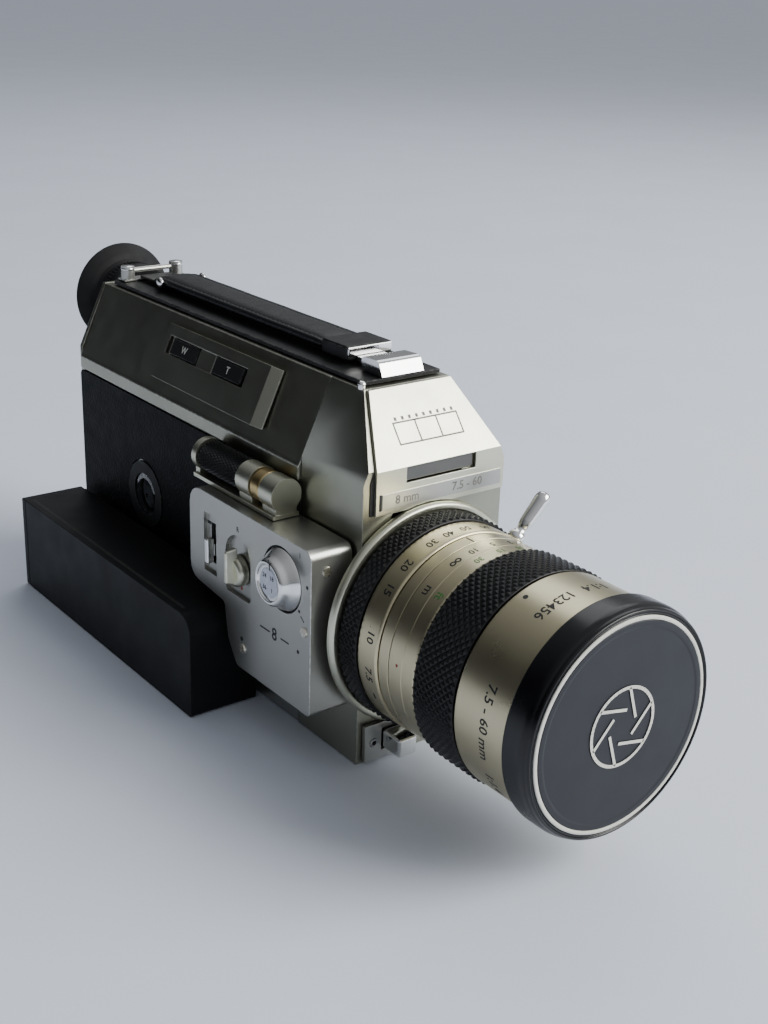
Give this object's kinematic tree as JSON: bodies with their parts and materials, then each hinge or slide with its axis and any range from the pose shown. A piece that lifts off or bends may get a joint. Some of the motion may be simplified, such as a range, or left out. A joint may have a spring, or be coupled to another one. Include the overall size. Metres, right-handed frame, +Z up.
{
  "type": "cine camera",
  "caption": "Small-gauge cine camera with a capped zoom lens, slab body, side control box, folded battery grip, carrying strap and rear eyepiece.",
  "frame": {"origin": "on the flat base, straight below the lens axis, near the middle of the camera's length", "axes": "+Z up, -Y along the lens towards the subject, -X is the user's right hand side"},
  "size_m": [0.0818, 0.2684, 0.1186],
  "materials": {
    "aluminium": "satin silver anodised",
    "chrome": "bright",
    "black_paint": "satin black",
    "black_casting": "satin black paint on a casting",
    "leatherette": "pebbled black covering",
    "black_plastic": "matt",
    "rubber": "matt knurled",
    "cap_plastic": "satin",
    "glass": "coated",
    "brass": "satin",
    "steel": "plain",
    "dial_white": "gloss",
    "cells": "labelled sleeves"
  },
  "bodies": {
    "root": {"control_box": "aluminium", "front_housing": "aluminium", "front_plate": "aluminium", "index_ring": "aluminium", "knob_bracket": "aluminium", "lens_flange": "aluminium", "right_side_plate": "aluminium", "switch_panel": "aluminium", "top_cover": "aluminium", "rear_cap": "aluminium", "trigger_plate": "aluminium", "door_hinge_pin": "chrome", "strap_front_bracket": "chrome", "strap_rear_bracket": "chrome", "film_gate": "chrome", "lens_core": "black_paint", "eyepiece_housing": "black_paint", "finder_tube": "black_paint", "main_chassis": "black_casting", "right_leatherette": "leatherette", "counter_bezel": "black_plastic", "top_deck": "black_plastic", "meter_cell": "black_plastic", "rear_lens_group": "glass", "meter_window": "glass", "tripod_bush": "brass", "drive_motor": "steel", "grip_hinge_pin": "steel"},
    "focus": {"focus_scale_ring": "aluminium", "focus_grip_band": "rubber", "front_barrel": "aluminium", "front_lens": "glass"},
    "cap": {"lens_cap": "cap_plastic"},
    "zoom": {"zoom_scale_ring": "aluminium", "zoom_grip_band": "rubber", "zoom_lever": "chrome"},
    "trigger": {"trigger_button": "chrome"},
    "grip": {"grip_shell": "black_plastic", "battery_pack": "cells"},
    "grip_lid": {"battery_lid": "black_plastic"},
    "door": {"film_door": "black_casting"},
    "latch": {"door_latch": "chrome"},
    "counter": {"counter_dial": "dial_white"},
    "pinion": {"motor_pinion": "brass"},
    "shutter": {"shutter_gear": "brass", "shutter_shaft": "steel", "shutter_blade": "black_paint"},
    "spindle": {"takeup_spindle": "steel"},
    "speed": {"speed_dial": "aluminium"},
    "run": {"run_lever": "aluminium"},
    "filter": {"filter_slider": "chrome"},
    "knob": {"exposure_knob": "rubber"},
    "tele": {"tele_button": "black_plastic"},
    "wide": {"wide_button": "black_plastic"},
    "strap": {"carry_strap": "leatherette", "strap_end_plate": "black_paint", "strap_tongue": "steel"},
    "diopter": {"diopter_ring": "black_plastic", "eyecup": "rubber"}
  },
  "joints": [
    {"name": "focus_turn", "type": "hinge", "parent": "root", "child": "focus", "pos_m": [0, -0.1, 0.044], "axis": [0, 1, 0], "range_deg": [0, 200]},
    {"name": "cap_pull", "type": "slide", "parent": "focus", "child": "cap", "axis": [0, -1, 0], "range_m": [0, 0.016]},
    {"name": "zoom_turn", "type": "hinge", "parent": "root", "child": "zoom", "pos_m": [0, -0.073, 0.044], "axis": [0, 1, 0], "range_deg": [0, 108]},
    {"name": "trigger_press", "type": "slide", "parent": "root", "child": "trigger", "axis": [0, 1, 0], "range_m": [0, 0.003], "stiffness_N_per_m": 500, "springref_m": -0.001},
    {"name": "grip_fold", "type": "hinge", "parent": "root", "child": "grip", "pos_m": [-0.0245, 0.003, 0.013], "axis": [-1, 0, 0], "range_deg": [0, 90]},
    {"name": "lid_open", "type": "hinge", "parent": "grip", "child": "grip_lid", "pos_m": [-0.03625, 0.10615, 0.0335], "axis": [1, 0, 0], "range_deg": [0, 100]},
    {"name": "door_open", "type": "hinge", "parent": "root", "child": "door", "pos_m": [0.0283, 0.0195, 0.04], "axis": [0, 0, -1], "range_deg": [0, 110]},
    {"name": "latch_slide", "type": "slide", "parent": "door", "child": "latch", "axis": [0, -1, 0], "range_m": [0, 0.004]},
    {"name": "counter_turn", "type": "hinge", "parent": "root", "child": "counter", "pos_m": [-0.0194, 0.062, 0.045], "axis": [1, 0, 0], "range_deg": [0, 330]},
    {"name": "shutter_spin", "type": "hinge", "parent": "root", "child": "shutter", "pos_m": [0.002, 0.005, 0.031], "axis": [0, 1, 0], "continuous": true},
    {"name": "pinion_spin", "type": "hinge", "parent": "root", "child": "pinion", "pos_m": [0.01375, 0.0025, 0.02366], "axis": [0, 1, 0], "continuous": true},
    {"name": "spindle_spin", "type": "hinge", "parent": "root", "child": "spindle", "pos_m": [-0.008, 0.062, 0.04], "axis": [1, 0, 0], "continuous": true},
    {"name": "speed_turn", "type": "hinge", "parent": "root", "child": "speed", "pos_m": [-0.0365, -0.0445, 0.056], "axis": [1, 0, 0], "range_deg": [-60, 120]},
    {"name": "run_turn", "type": "hinge", "parent": "root", "child": "run", "pos_m": [-0.0365, -0.021, 0.05], "axis": [1, 0, 0], "range_deg": [-40, 60]},
    {"name": "filter_slide", "type": "slide", "parent": "root", "child": "filter", "axis": [0, 0, 1], "range_m": [-0.002, 0.006]},
    {"name": "knob_turn", "type": "hinge", "parent": "root", "child": "knob", "pos_m": [-0.0282, 0, 0.076], "axis": [0, 1, 0], "range_deg": [-120, 120]},
    {"name": "tele_press", "type": "slide", "parent": "root", "child": "tele", "axis": [0.9097, 0, -0.4154], "range_m": [0, 0.0008], "stiffness_N_per_m": 800, "springref_m": -0.0005},
    {"name": "wide_press", "type": "slide", "parent": "root", "child": "wide", "axis": [0.9097, 0, -0.4154], "range_m": [0, 0.0008], "stiffness_N_per_m": 800, "springref_m": -0.0005},
    {"name": "strap_shift", "type": "slide", "parent": "root", "child": "strap", "axis": [0, 1, 0], "range_m": [-0.0015, 0.0015]},
    {"name": "diopter_turn", "type": "hinge", "parent": "root", "child": "diopter", "pos_m": [0.003, 0.115, 0.1], "axis": [0, 1, 0], "range_deg": [-90, 90]}
  ],
  "couplings": [
    {"joint": "pinion_spin", "follows": "shutter_spin", "ratio": -2.4},
    {"joint": "spindle_spin", "follows": "shutter_spin", "ratio": 0.045}
  ]
}
